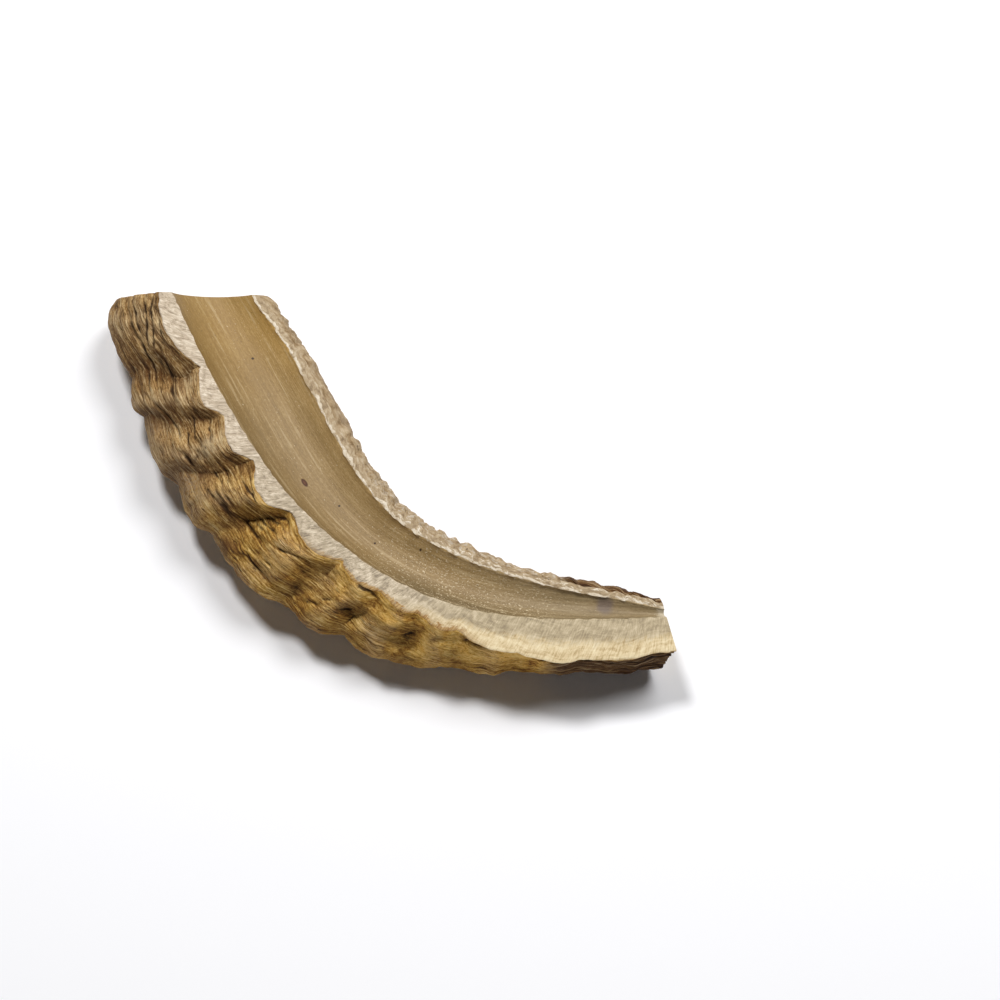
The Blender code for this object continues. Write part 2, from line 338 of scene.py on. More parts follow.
def ridge_wave(rim_run, down):
    """0 in a valley and 1 on a crest, with the local spacing."""
    _, x, spacing = between_valleys(rim_run + valley_sway(rim_run, down))
    x = np.where(x < CREST_AT, 0.5 * x / CREST_AT, 0.5 + 0.5 * (x - CREST_AT) / (1 - CREST_AT))
    shape = CREST_SHAPE[0] + (CREST_SHAPE[1] - CREST_SHAPE[0]) * on_wall(down)
    return np.sin(np.pi * np.clip(x, 0, 1)) ** shape, spacing


def valley_sway(rim_run, down):
    """How far a valley strays from its straight way down the wall."""
    sway = np.sin(down / 2.7 + rim_run / 6.0) + 0.8 * np.sin(down / 5.3 - rim_run / 13.0)
    return VALLEY_SWAY * sway * ease((down - 0.8) / 4.0)


def at_places(fine, table, place):
    """Each column of a finely spaced table, read at that column's own places."""
    flat = table.reshape(len(fine), table.shape[1], -1)
    read = np.empty(place.shape + flat.shape[2:])
    for j in range(table.shape[1]):
        for k in range(flat.shape[2]):
            read[:, j, k] = np.interp(place[:, j], fine, flat[:, j, k])
    return read.reshape(place.shape + table.shape[2:])


print("valleys on this piece:", sum(0 < rim < 171 for rim in valley_rims))

# %% [markdown]
# Now the plain outside is set out: every point gets its place along the horn,
# its distance down from the near rim, and the direction that faces outward
# there. At both rims that direction is kept level, so relief never lifts the
# sawn edge out of the plane of the cut.

# %% Set out the plain outside
FINE_PLACES = 1600

fine = np.linspace(0, 1, FINE_PLACES)
half = along(HALF_OPENING, fine)
near = half + along(NEAR_WALL, fine)
far = half + along(FAR_WALL, fine)
sizes = zip(near, far, along(DEPTH, fine), along(NEAR_BULGE, fine), along(FAR_BULGE, fine))
sections = [outer_section(*size, outer_shares) for size in sizes]
profile = np.array([section[0] for section in sections])
down = np.array([section[1] for section in sections])

step = np.gradient(profile, axis=1)
outward = np.stack([-step[..., 1], step[..., 0]], -1)
outward *= np.sign(outward[0, 0, 0])
outward[..., 1] *= ease(down / 6.0) * ease((down[:, -1:] - down) / 5.0)
outward /= np.linalg.norm(outward, axis=-1, keepdims=True)

centre, heading = middle_line(fine)
edge = centre + np.stack([np.sin(heading), -np.cos(heading)], -1) * near[:, None]
edge_run = np.r_[0, np.cumsum(np.hypot(*np.diff(edge, axis=0).T))]

stations = np.linspace(0, 1, STATIONS)
plain = stations[:, None] + 0 * profile[:STATIONS, :, 0]
rim_run = np.interp(plain, fine, edge_run)
share = outer_shares[None] + 0 * plain
run = rim_run - drift_at(rim_run) * drift_share(at_places(fine, down, plain), share)
place = np.interp(run, edge_run, fine)
profile, outward, down = [at_places(fine, table, place) for table in (profile, outward, down)]
up_back = down[:, -1:] - down
print("sawn outer edge, mm:", round(edge_run[-1], 1), "wall, mm:", round(down[:, -1].max(), 1))

# %% [markdown]
# ## Fields of grain
# Horn is made of fibres, so most of its marks are long along the horn and narrow
# across it. One small helper makes smooth random bumps on a table of fixed
# random numbers. Stretched, it gives fibres; squared up, it gives lumps. The
# table is seeded, so the horn comes out the same every time.

# %% A helper for smooth random bumps
TABLE_SIZE = 97


def bumps(a, b, seed):
    """Smooth random heights between -1 and 1, one bump per unit of a and of b."""
    table = np.random.default_rng(seed).uniform(-1, 1, (TABLE_SIZE, TABLE_SIZE))
    i, j = np.floor(a).astype(int), np.floor(b).astype(int)
    s, t = ease(a - i), ease(b - j)
    corner = [table[(i + u) % TABLE_SIZE, (j + v) % TABLE_SIZE] for u in (0, 1) for v in (0, 1)]
    return (corner[0] * (1 - t) + corner[1] * t) * (1 - s) + (corner[2] * (1 - t) + corner[3] * t) * s


def layered(a, b, seed, layers=3):
    """Bumps with finer and lower bumps added on top."""
    return sum(bumps(a * 2 ** k, b * 2 ** k, seed + k) / 2 ** k for k in range(layers)) / 1.6


print("one row of bumps:", bumps(np.arange(5) * 0.4, np.zeros(5), 1).round(2).tolist())

# %% [markdown]
# ## The outer wall
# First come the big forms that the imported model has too: ridges and valleys,
# the wrinkles beside the far rim, a few broad lumps and the pits where valleys
# have rotted in. They use the same measures, so the fine wall follows the plain
# one everywhere.

# %% Ridges, wrinkles, lumps and pits
WRINKLE_SPACING = 6.2
WRINKLE_HEIGHT = 0.8
WRINKLE_WANDER = 3.2
WRINKLE_STRAY = 0.45
WRINKLE_SHARE = (0.7, 0.15)
STRIP_ROUGH_RUN = (45.0, 30.0)
FAR_SIDE_SHARE = (0.45, 0.3)
LUMP_HEIGHT = 0.35
LUMP_LENGTHS = (23.0, 11.0)
FLARE_HEIGHT, FLARE_LENGTH, FLARE_DOWN, FLARE_WIDTH = 1.2, 9.0, 16.0, 8.0
# run, down, half length, half width and depth of each pit
PITS = (
    (17.5, 8.0, 3.6, 3.2, 1.5),
    (41.5, 9.0, 3.5, 3.5, 1.1),
    (61.0, 9.5, 2.8, 5.0, 2.0),
    (80.9, 11.0, 2.6, 4.0, 2.0),
    (93.6, 8.0, 3.0, 3.4, 1.5),
    (107.6, 7.0, 3.0, 3.4, 0.8),
)


def wrinkles(run, back_run):
    phase = run / WRINKLE_SPACING + WRINKLE_WANDER * np.sin(run / 17.0) / WRINKLE_SPACING
    phase = phase + WRINKLE_STRAY * bumps(run / 8.0, back_run / 4.0, 49)
    uneven = 0.65 + 0.45 * bumps(run / 7.0, back_run / 9.0, 51)
    return np.abs(np.sin(np.pi * (phase + 0.03 * back_run))) * uneven


def lumps(run, down):
    long_wave, short_wave = LUMP_LENGTHS
    broad = np.sin(2 * np.pi * run / long_wave + 0.9) * np.sin(2 * np.pi * down / long_wave + 0.4)
    turn = 2 * np.pi / short_wave
    return broad + 0.6 * np.sin(turn * (run + down)) * np.sin(turn * (run - down))


def pit_fields(run, down):
    """Depth of the pits, and a mask that is 1 in the middle of each."""
    depth, mask = np.zeros(run.shape), np.zeros(run.shape)
    ragged = 1.1 * layered(run / 3.0, down / 2.2, 11)
    for at, below, half_length, half_width, deep in PITS:
        off_run, off_down = (run + ragged - at) / half_length, (down + ragged - below) / half_width
        hole = np.exp(-off_run ** 2 - off_down ** 2)
        depth += deep * hole
        mask = np.maximum(mask, hole)
    return depth, mask


wave, spacing = ridge_wave(rim_run, down)
near_side = 1 - (1 - FAR_SIDE_RIDGES) * rise(share, *FAR_SIDE_SHARE)
height = along(RIDGE_HEIGHT, place) * np.clip(spacing / RIDGE_SPACING, 0.5, 1.3)
height = height * (1 - RIM_SOFTENING * (1 - on_wall(down)))
relief = height * near_side * (1 - CREST_MIDDLE - (1 - wave) * (1 - RIDGE_FADE * on_wall(down)))
toward_tip = rise(run, *STRIP_ROUGH_RUN)
beside_far_rim = rise(share, *WRINKLE_SHARE) * (0.55 + 0.45 * toward_tip)
relief += WRINKLE_HEIGHT * beside_far_rim * (wrinkles(run, up_back) - 0.6)
relief += LUMP_HEIGHT * lumps(run, down) * ease(down / 8.0) * ease(up_back / 8.0)
relief += FLARE_HEIGHT * np.exp(-(run / FLARE_LENGTH) ** 2 - ((down - FLARE_DOWN) / FLARE_WIDTH) ** 2)
pit_depth, pit_mask = pit_fields(run, down)
relief -= pit_depth
print("ridge relief from", relief.min().round(1), "to", relief.max().round(1), "mm")

# %% [markdown]
# Long dry cracks follow the fibres. The photograph shows where the main ones
# run, so each is written down as a width, a depth and a few points: distance
# along the sawn edge and distance down the wall. A crack is pressed in as a
# narrow groove around that line, and its mask is kept to colour it later.

# %% Cracks along the fibres
CRACKS = (
    (0.55, 0.9, ((-3, 10.6), (5.6, 9.3), (10.6, 9.5), (14.2, 9.5), (17.5, 10.2), (22, 10.0))),
    (0.35, 0.6, ((-3, 8.1), (4, 7.4), (9, 7.8), (13.5, 8.6))),
    (0.4, 0.6, ((-2, 3.6), (3.7, 4.0), (8.7, 5.0), (12.8, 7.5), (16, 9.0))),
    (0.35, 0.6, ((-2, 1.8), (2.3, 2.2), (9.4, 3.6), (12.6, 5.2), (17, 8.0))),
    (0.3, 0.4, ((4.7, 0.2), (10.7, 1.5), (14.5, 3.6))),
    (0.55, 0.9, ((13.5, 4.2), (17.1, 5.9), (19.6, 6.6), (24, 6.7), (27, 6.6))),
    (0.35, 0.5, ((14.0, 12.8), (18.5, 11.9), (22.5, 12.5))),
    (0.45, 0.7, ((22.5, 13.8), (26.0, 11.6), (28.1, 11.2), (31.2, 10.7), (35.5, 11.6))),
    (0.35, 0.5, ((29.0, 5.2), (33.8, 6.8), (37.6, 7.6))),
    (0.35, 0.5, ((31.0, 3.2), (37.3, 3.5), (40.6, 4.2))),
    (0.3, 0.4, ((31.5, 8.8), (35.0, 9.2), (38.5, 10.0))),
    (0.5, 0.9, ((36.6, 12.2), (39.7, 11.5), (42.2, 11.3))),
    (0.3, 0.4, ((43.5, 5.4), (47.5, 5.6), (52.0, 6.0))),
    (0.3, 0.4, ((44.0, 8.0), (49.0, 7.8), (53.5, 7.4))),
    (0.7, 1.1, ((48.5, 11.4), (52.4, 10.4), (55.6, 10.2), (58.6, 11.2))),
    (0.45, 0.8, ((47.8, 10.0), (53.0, 9.3), (57.0, 9.4))),
    (0.35, 0.5, ((50.5, 8.4), (55.0, 8.0), (58.6, 8.6))),
    (0.35, 0.5, ((51.6, 3.5), (57.6, 2.4), (61.0, 2.9))),
    (0.3, 0.4, ((50.0, 1.6), (55.0, 1.2), (59.5, 1.6))),
    (0.5, 0.8, ((58.6, 9.6), (62.6, 9.0), (67.4, 7.9))),
    (0.5, 0.8, ((60.0, 7.6), (65.0, 6.6), (68.5, 6.1))),
    (0.45, 0.8, ((61.2, 5.8), (66.5, 5.1), (69.8, 4.2))),
    (0.45, 0.7, ((62.6, 4.0), (67.7, 3.2), (70.4, 2.4))),
    (0.35, 0.6, ((64.4, 2.9), (70.3, 1.5))),
    (0.35, 0.6, ((70.0, 6.9), (74.1, 5.5), (77.6, 3.6))),
    (0.3, 0.4, ((71.0, 11.3), (74.0, 10.6))),
    (0.3, 0.4, ((64.0, 13.0), (69.0, 13.6), (73.5, 14.4))),
    (0.5, 0.9, ((91.2, 0.2), (94.7, 0.6), (97.3, 2.3))),
    (0.35, 0.5, ((82.1, 14.0), (85.4, 11.0), (87.8, 10.0))),
    (0.35, 0.5, ((86.2, 9.2), (89.0, 7.3))),
    (0.4, 0.6, ((90.8, 9.2), (93.8, 6.8))),
    (0.35, 0.5, ((93.4, 11.8), (94.3, 9.0))),
    (0.4, 0.5, ((105.6, 8.4), (108.8, 4.6))),
    (0.5, 0.6, ((119.2, 1.8), (122.3, 0.9), (128.5, 0.5))),
    (0.35, 0.5, ((134.0, 1.3), (142.0, 1.0), (151.0, 1.5))),
    (0.4, 0.6, ((141.0, 1.9), (149.0, 2.2), (160.0, 2.0), (172.0, 2.4))),
    (0.35, 0.5, ((146.0, 3.4), (158.0, 3.3), (174.0, 3.8))),
    (0.35, 0.5, ((143.0, 5.4), (156.0, 5.0), (174.0, 5.6))),
    (0.35, 0.5, ((146.0, 7.6), (158.0, 7.0), (174.0, 7.4))),
)


def to_line(run, down, points):
    """Distance from a bent line, drawn in by a taper at both its ends."""
    nearest, where = np.full(run.shape, 99.0), np.zeros(run.shape)
    points = np.array(points, float)
    for k, (a, b) in enumerate(zip(points[:-1], points[1:])):
        reach, drop = b - a
        s = np.clip(((run - a[0]) * reach + (down - a[1]) * drop) / np.sum((b - a) ** 2), 0, 1)
        far_off = np.hypot(run - a[0] - s * reach, down - a[1] - s * drop)
        where = np.where(far_off < nearest, (k + s) / (len(points) - 1), where)
        nearest = np.minimum(nearest, far_off)
    return nearest, np.sin(np.pi * np.clip(where, 0.04, 0.96)) ** 0.5


crack_mask = np.zeros(run.shape)
wander = 0.35 * bumps(run / 2.6, down / 3.0, 5)
for width, deep, points in CRACKS:
    nearest, taper = to_line(run, down + wander, points)
    groove = taper * np.exp(-(nearest / width) ** 2)
    relief -= deep * groove
    crack_mask = np.maximum(crack_mask, groove)
print(len(CRACKS), "cracks over", round(100 * (crack_mask > 0.3).mean(), 1), "% of the wall")

# %% [markdown]
# Between the cracks the whole wall is fibrous: fine grooves a millimetre apart
# that fade in and out. Grooves come from the places where a stretched field of
# bumps passes through zero, which gives long thin lines and not round dents.
# Toward the tip the wall is lumpier and smoother, so the fibres fade there and
# knobs take over. The strip beside the far rim is knobbly all along.

# %% Fibres, knobs and the far strip
FIBRE_LENGTH = 9.0
FIBRE_WIDTH = 1.5
FIBRE_DEPTH = 0.42
KNOB_HEIGHT, SMALL_KNOB_HEIGHT = 1.0, 0.30
STRIP_KNOB_HEIGHT, STRIP_KNOB_GAIN, STRIP_GRIT_HEIGHT = 0.24, 0.36, 0.10
BARK_DEPTH = 0.45
EDGE_WAVER = 0.34
# where each change starts, and over how much it comes about
FACING_SHARE_ENDS = (0.36, 0.12)
STRIP_SHARE = (0.84, 0.08)
FIBRES_FADE = (72, 16)
KNOBS_GROW, KNOBS_FADE = (58, 18), (122, 14)
BARK_RUN, BARK_DOWN = (138, 10), (9, 4)


def fibre_lines(run, down, width, seed):
    """1 on thin lines along the horn, 0 between them."""
    sway = 1.6 * layered(run / 8.0, down / 6.0, seed + 20)
    return (1 - np.abs(bumps(run / FIBRE_LENGTH, (down + sway) / width, seed))) ** 6


facing = 1 - rise(share, *FACING_SHARE_ENDS)
rough = ease((layered(run / 7.0, down / 4.0, 31) + 0.35) / 0.7) * (1 - 0.6 * rise(run, *FIBRES_FADE))
coarse = fibre_lines(run, down, FIBRE_WIDTH, 41)
close = fibre_lines(run, down, 0.6 * FIBRE_WIDTH, 43)
fibre_mask = np.clip(rough * (0.75 * coarse + 0.5 * close), 0, 1)
relief -= FIBRE_DEPTH * fibre_mask * ease(up_back / 3.0)

knobs = layered(run / 5.5, down / 4.6, 53)
knobby = (0.35 + 0.65 * rise(run, *KNOBS_GROW)) * (1 - 0.7 * rise(run, *KNOBS_FADE))
relief += KNOB_HEIGHT * knobs * knobby * ease(down / 2.5) * facing
relief += SMALL_KNOB_HEIGHT * layered(run / 2.1, down / 1.5, 57) * ease(down) * ease(up_back)

strip = rise(share, *STRIP_SHARE)
strip_knobs = layered(run / 3.4, up_back / 2.3, 61)
strip_relief = (STRIP_KNOB_HEIGHT + STRIP_KNOB_GAIN * toward_tip) * strip_knobs
strip_relief += STRIP_GRIT_HEIGHT * layered(run / 1.3, up_back / 0.9, 67)
relief += strip * ease(up_back / 0.7) * strip_relief

on_bark = rise(run, *BARK_RUN) * (1 - rise(down, *BARK_DOWN))
relief -= BARK_DEPTH * on_bark * fibre_lines(run / 1.6, down, 0.85, 47) * ease(down / 0.8)

relief += EDGE_WAVER * layered(rim_run / 2.6, 0 * run, 71) * (1 - ease(down / 1.8))
print("fibres cover", round(100 * (fibre_mask > 0.4).mean(), 1), "% of the wall")

# %% [markdown]
# ## Lay the sections along the bend
# Both ends were cut with a slanting saw stroke. Sliding each point along the
# horn by an amount that grows with its height and its distance sideways makes
# each end one flat plane, and the slide dies away toward the middle. The trough
# and the two rims are set out on the same stations as the wall, so they meet it
# point for point.

# %% Trough and rims, laid along the bend
BASE_SET_BACK, BASE_SLANT, BASE_LEAN, BASE_BLEND = 2.4, -0.52, 0.48, 0.22
TIP_SET_BACK, TIP_SLANT, TIP_LEAN, TIP_BLEND = 2.6, 0.3, 0.25, 0.1
NEAR_RIM_STEPS = (0.02, 0.05, 0.1, 0.18, 0.28, 0.4, 0.52, 0.64, 0.76, 0.86, 0.93, 0.97)
FAR_RIM_STEPS = (0.12, 0.3, 0.5, 0.7, 0.88)


def lay_along(grid, place):
    """Points of sections carried along the middle line, slanted at both sawn ends."""
    centre, heading = middle_line(place)
    ahead = np.stack([np.cos(heading), np.sin(heading)], -1)
    sideways = np.stack([np.sin(heading), -np.cos(heading)], -1)
    base = BASE_SET_BACK + BASE_SLANT * grid[..., 0] + BASE_LEAN * grid[..., 1]
    tip = TIP_SLANT * grid[..., 0] + TIP_LEAN * grid[..., 1] - TIP_SET_BACK
    slide = base * (1 - ease(place / BASE_BLEND)) + tip * (1 - ease((1 - place) / TIP_BLEND))
    flat = centre + sideways * grid[..., :1] + ahead * slide[..., None]
    return np.concatenate([flat, grid[..., 1:]], -1)


outside = profile + outward * relief[..., None]
troughs = zip(along(HALF_OPENING, stations), along(TROUGH_DEPTH, stations))
trough_sections = [trough_section(*size, trough_shares) for size in troughs]
inside = np.array([section[0] for section in trough_sections])
across = np.array([section[1] - section[1][-1] / 2 for section in trough_sections])
inside_run = rim_run[:, :1] + 0 * across
print("trough, mm across its skin:", round(np.ptp(across[0]), 1), "to", round(np.ptp(across[-1]), 1))

# %% [markdown]
# The trough is smooth, but not dead even: it has faint long waves from the bone
# core that once filled it, and one raised scab with a sunken middle. The rims are
# flat, with the sharp edge broken a little by handling, more where flakes have
# come away. A row of bumps along the cut, one number to a station, says where.

# %% Small forms of the trough and rims
# run, across, half length, half width
SCAB = (59.8, -2.4, 1.5, 0.6)
WAVE_HEIGHT, RIPPLE_HEIGHT, SCRATCH_HEIGHT = 0.25, 0.10, 0.05
SCAB_HEIGHT, SCAB_HOLLOW = 0.22, 0.15
NEAR_LIP_WAVER, FAR_LIP_WAVER = 0.22, 0.40
LIP_WEAR = 0.08
# how much the outer edge and the next two rows have worn, and how much more has chipped off
NEAR_CHIPS = ((0.16, 0.35), (0.05, 0.18), (0.0, 0.07))
FAR_CHIPS = ((0.15, 0.40), (0.05, 0.22), (0.0, 0.15))


def scab_distance(run, across):
    at, middle, half_length, half_width = SCAB
    return np.hypot((run - at) / half_length, (across - middle) / half_width)


def along_cut(length, seed):
    """Bumps of that length along the sawn edge, one value for each station."""
    return layered(rim_run[:, 0] / length, 0 * stations, seed)


def rim_between(outer_edge, inner_edge, steps):
    """Rows of points across a rim, from its outer edge to its inner one."""
    steps = np.array(steps)[None, :, None]
    return outer_edge[:, None] * (1 - steps) + inner_edge[:, None] * steps


def break_edge(edge, rim, rows, chips):
    """Lower the outer edge of a rim and its first two rows, more where it has chipped."""
    for height, (worn, chipped) in zip((edge[:, 1], rim[:, 0, 1], rim[:, 1, 1]), rows):
        height -= worn + chipped * chips


trough_relief = RIPPLE_HEIGHT * layered(inside_run / 30.0, across / 2.2, 81)
trough_relief += SCRATCH_HEIGHT * bumps(inside_run / 14.0, across / 0.9, 83)
trough_relief += WAVE_HEIGHT * layered(inside_run / 26.0, across / 9.0, 85)
from_scab = scab_distance(inside_run, across)
trough_relief += SCAB_HEIGHT * np.exp(-(from_scab / 0.9) ** 4)
trough_relief -= SCAB_HOLLOW * np.exp(-(from_scab / 0.45) ** 2)
trough_relief *= ease((1 - np.abs(2 * trough_shares[None] - 1)) / 0.12)
inside[..., 1] += trough_relief
inside[:, 0, 0] += NEAR_LIP_WAVER * along_cut(1.7, 87)
inside[:, -1, 0] += FAR_LIP_WAVER * along_cut(2.6, 89)

near_rim = rim_between(outside[:, 0], inside[:, 0], NEAR_RIM_STEPS)
far_rim = rim_between(outside[:, -1], inside[:, -1], FAR_RIM_STEPS)
break_edge(outside[:, 0], near_rim, NEAR_CHIPS, rise(along_cut(2.2, 91), 0.15, 0.5))
far_chips = rise(along_cut(1.7, 95), -0.1, 0.6) * (0.4 + 0.6 * toward_tip[:, -1])
break_edge(outside[:, -1], far_rim, FAR_CHIPS, far_chips)
inside[:, (0, -1), 1] -= LIP_WEAR
print("deepest chip on the near rim, mm:", round(-outside[:, 0, 1].min(), 2))

# %% [markdown]
# ## One closed skin
# The wall, the near rim, the trough and the far rim are joined into rings, one
# ring per station, and the two sawn ends close the first and the last ring. Each
# face remembers which finish it carries, because a rim and a wall are the same
# stuff cut in different ways.

# %% Rings of points, in order round the horn
parts = (
    ("near_rim", near_rim[:, ::-1]),
    ("wall", outside),
    ("far_rim", far_rim),
    ("trough", inside[:, ::-1]),
)
rings, starts, count = [], {}, 0
for name, grid in parts:
    laid = lay_along(grid, place if name == "wall" else stations[:, None] + 0 * grid[..., 0])
    rings.append(laid)
    starts[name] = count
    count += grid.shape[1]
rings = np.concatenate(rings, axis=1)
around = rings.shape[1]
print("rings:", STATIONS, "points in each:", around, "triangles:", 2 * around * (STATIONS - 1))

# %% [markdown]
# Faces run between one ring and the next. The column a face starts in decides
# its finish: a rim keeps the strip that reaches the wall on one side and the
# trough on the other. The two ends are single flat faces, as the saw left them.

# %% Faces and their finishes
FINISHES = ("outer_wall", "near_rim", "far_rim", "trough", "sawn_end")


def finish_of_columns():
    finish = np.empty(around, int)
    finish[:] = FINISHES.index("near_rim")
    finish[starts["wall"]:starts["far_rim"] - 1] = FINISHES.index("outer_wall")
    finish[starts["far_rim"] - 1:starts["trough"]] = FINISHES.index("far_rim")
    finish[starts["trough"]:around - 1] = FINISHES.index("trough")
    return finish


def horn_faces():
    here = np.arange(STATIONS - 1)[:, None] * around + np.arange(around)[None]
    beside = np.arange(STATIONS - 1)[:, None] * around + (np.arange(around)[None] + 1) % around
    quads = np.stack([here, beside, beside + around, here + around], -1).reshape(-1, 4)
    ends = [list(range(around - 1, -1, -1)), list(range((STATIONS - 1) * around, STATIONS * around))]
    finish = np.r_[np.tile(finish_of_columns(), STATIONS - 1), [FINISHES.index("sawn_end")] * 2]
    return quads.tolist() + ends, finish


faces, face_finish = horn_faces()
skin = bpy.data.meshes.new("horn_skin")
skin.from_pydata((rings.reshape(-1, 3) * MILLIMETRE).tolist(), [], faces)
skin.polygons.foreach_set("material_index", face_finish)
skin.polygons.foreach_set("use_smooth", np.ones(len(faces), bool))
print("faces:", len(faces), {name: int((face_finish == k).sum()) for k, name in enumerate(FINISHES)})

# %% [markdown]
# The piece lies on its lowest points, tipped a few degrees, so the sawn face is
# not quite level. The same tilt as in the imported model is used, and then it is
# set on the same spot. Knobs that would reach below the table are worn flat.

# %% Lay the horn down
REST_TILT_ABOUT_X = 0.3
REST_TILT_ABOUT_Y = 4.85
LIES_AT = (29.19, -2.48, 18.08)
SHARP_FROM = 50

tilt = Matrix.Rotation(math.radians(REST_TILT_ABOUT_Y), 4, "Y")
tilt = tilt @ Matrix.Rotation(math.radians(REST_TILT_ABOUT_X), 4, "X")
skin.transform(Matrix.Translation([MILLIMETRE * x for x in LIES_AT]) @ tilt)
spots = np.empty(3 * len(skin.vertices), np.float32)
skin.vertices.foreach_get("co", spots)
spots = spots.reshape(-1, 3)
spots[:, 2] = np.maximum(spots[:, 2], 0)
skin.vertices.foreach_set("co", spots.ravel())
skin.set_sharp_from_angle(angle=math.radians(SHARP_FROM))
horn = bpy.data.objects.new("ram_horn", skin)
bpy.context.scene.collection.objects.link(horn)
print("lowest point, mm:", 1000 * spots[:, 2].min(), "box:", (1000 * np.ptp(spots, axis=0)).round(1))

# %% [markdown]
# ## Masks for the finishes
# Paint would follow a picture, but this horn's colours come from how it grew and
# weathered, and its painted shade and highlight come from its ridges, so they can be
# worked out from the form. Every point carries where it is on its surface, in
# millimetres, and a few numbers from 0 to 1 that say how deep in a crack, how dark
# with painted shade and stains, how grey, how golden, and how pale with painted
# highlight it is there.

# %% Stains and painted shade, grey patches, golden places, pale places and painted highlights
# run, down, half length, half width, strength
# stains, and painted shade on the flanks of the valleys and in the pits
STAINS_AND_SHADE = (
    (16.0, 1.5, 2.8, 2.6, 1.0),
    (17.5, 6.5, 3.2, 3.4, 1.0),
    (16.8, 11.0, 3.4, 3.6, 0.9),
    (10.0, 15.0, 6.0, 5.0, 0.4),
    (27.2, 9.5, 2.2, 4.0, 0.8),
    (31.0, 4.6, 1.8, 3.4, 0.8),
    (45.6, 5.0, 2.4, 4.2, 1.0),
    (39.8, 10.8, 2.4, 2.4, 0.8),
    (57.0, 11.0, 3.6, 2.8, 1.0),
    (62.0, 16.5, 3.0, 3.0, 0.9),
    (64.5, 7.5, 3.4, 3.0, 0.6),
    (80.3, 11.8, 1.6, 3.8, 1.0),
    (79.0, 5.0, 2.0, 2.6, 0.5),
    (85.5, 8.6, 4.0, 3.4, 0.7),
    (93.4, 8.4, 2.2, 2.8, 0.9),
    (99.5, 5.0, 2.4, 3.0, 0.6),
    (107.4, 5.6, 2.4, 2.8, 0.6),
    (114.5, 2.6, 2.4, 1.6, 0.8),
    (121.5, 0.9, 3.5, 0.9, 0.9),
)
GREY_PATCHES = (
    (43.0, 15.0, 7.0, 4.0, 1.0),
    (37.8, 18.0, 4.0, 4.0, 0.7),
    (28.0, 18.0, 7.0, 5.0, 0.6),
    (61.0, 21.0, 6.0, 5.0, 0.5),
)
GOLD_PLACES = (
    (66.0, 1.5, 9.0, 2.5, 0.4),
    (90.0, 3.0, 7.0, 3.0, 0.6),
    (103.0, 3.0, 8.0, 4.0, 0.8),
    (111.0, 7.0, 9.0, 4.0, 0.8),
    (118.0, 4.0, 8.0, 4.0, 1.0),
    (132.0, 3.0, 11.0, 4.5, 1.0),
)
# pale patches of horn, and painted highlight on lit crests
PALE_AND_HIGHLIGHT_PLACES = (
    (40.5, 4.0, 2.4, 4.5, 1.0),
    (5.0, 6.5, 5.0, 2.0, 0.5),
    (6.0, 2.0, 5.0, 1.2, 0.5),
    (24.5, 3.5, 2.8, 3.5, 0.5),
    (71.5, 3.6, 2.6, 3.0, 0.5),
    (85.0, 5.0, 4.0, 4.0, 0.4),
    (99.0, 8.4, 3.0, 2.6, 0.6),
    (52.5, 6.5, 3.0, 3.0, 0.4),
)


def spots_of(rows, run, down):
    """The strongest of several soft oval spots."""
    mask = np.zeros(run.shape)
    for at, below, half_length, half_width, strength in rows:
        far_off = ((run - at) / half_length) ** 2 + ((down - below) / half_width) ** 2
        mask = np.maximum(mask, strength * np.exp(-far_off))
    return mask


blotches = layered(run / 3.4, down / 2.3, 103)
# painted shade in the valleys, darkest just after and just before each valley
i, x, spacing = between_valleys(rim_run + valley_sway(rim_run, down))
darkness = np.array([valley[2] for valley in VALLEYS])
after = darkness[i] * np.exp(-(x * spacing / 2.0) ** 2)
before = darkness[i + 1] * np.exp(-((1 - x) * spacing / 3.0) ** 2)
valley_shade = 1.4 * np.maximum(after, before) * ease((down + 0.5) / 5.0) * (0.75 + 0.3 * blotches)
bark = rise(run + 3 * blotches, 139, 6) * rise(down, 0.2, 0.8)
stains_and_shade = spots_of(STAINS_AND_SHADE, run + blotches, down)
# one mask for the painted valley shade, the stains and the darker bark
shade_and_stains = np.clip(np.maximum.reduce([valley_shade * near_side, stains_and_shade, 0.45 * bark]), 0, 1)
grey = np.clip(spots_of(GREY_PATCHES, run + 2 * blotches, down + blotches), 0, 1)
gold = np.clip(spots_of(GOLD_PLACES, run + 2 * blotches, down + blotches), 0, 1)
# painted highlight on the crests of the ridges
painted_crest_highlight = 0.35 * ease((wave - 0.75) / 0.25) * near_side
pale_and_highlight = np.clip(spots_of(PALE_AND_HIGHLIGHT_PLACES, run + blotches, down + blotches) + painted_crest_highlight, 0, 1)
print("shaded", round(shade_and_stains.mean(), 2), "grey", round(grey.mean(), 2), "gold", round(gold.mean(), 2))

# %% [markdown]
# The masks are written onto the points, where the finishes can read them back.
# Places are written too: on the wall the run along the sawn edge, the way down
# from it and the way up the far side. On a rim the run leans with the saw's
# strokes, which don't cross it quite square, and less so toward the tip.

# %% Write places and masks onto the skin
STROKE_LEAN = 0.5
STROKE_LEAN_AT_TIP = 0.35
LEAN_FADES = (75.0, 110.0)


def ring_table(**columns):
    """One vector for each point of every ring, zero where a part gives none."""
    table = np.zeros((STATIONS, around, 3), np.float32)
    for name, value in columns.items():
        table[:, starts[name]:starts[name] + value.shape[1]] = value
    return table


def write_attribute(name, table):
    attribute = skin.attributes.new(name, "FLOAT_VECTOR", "POINT")
    attribute.data.foreach_set("vector", table.astype(np.float32).ravel())


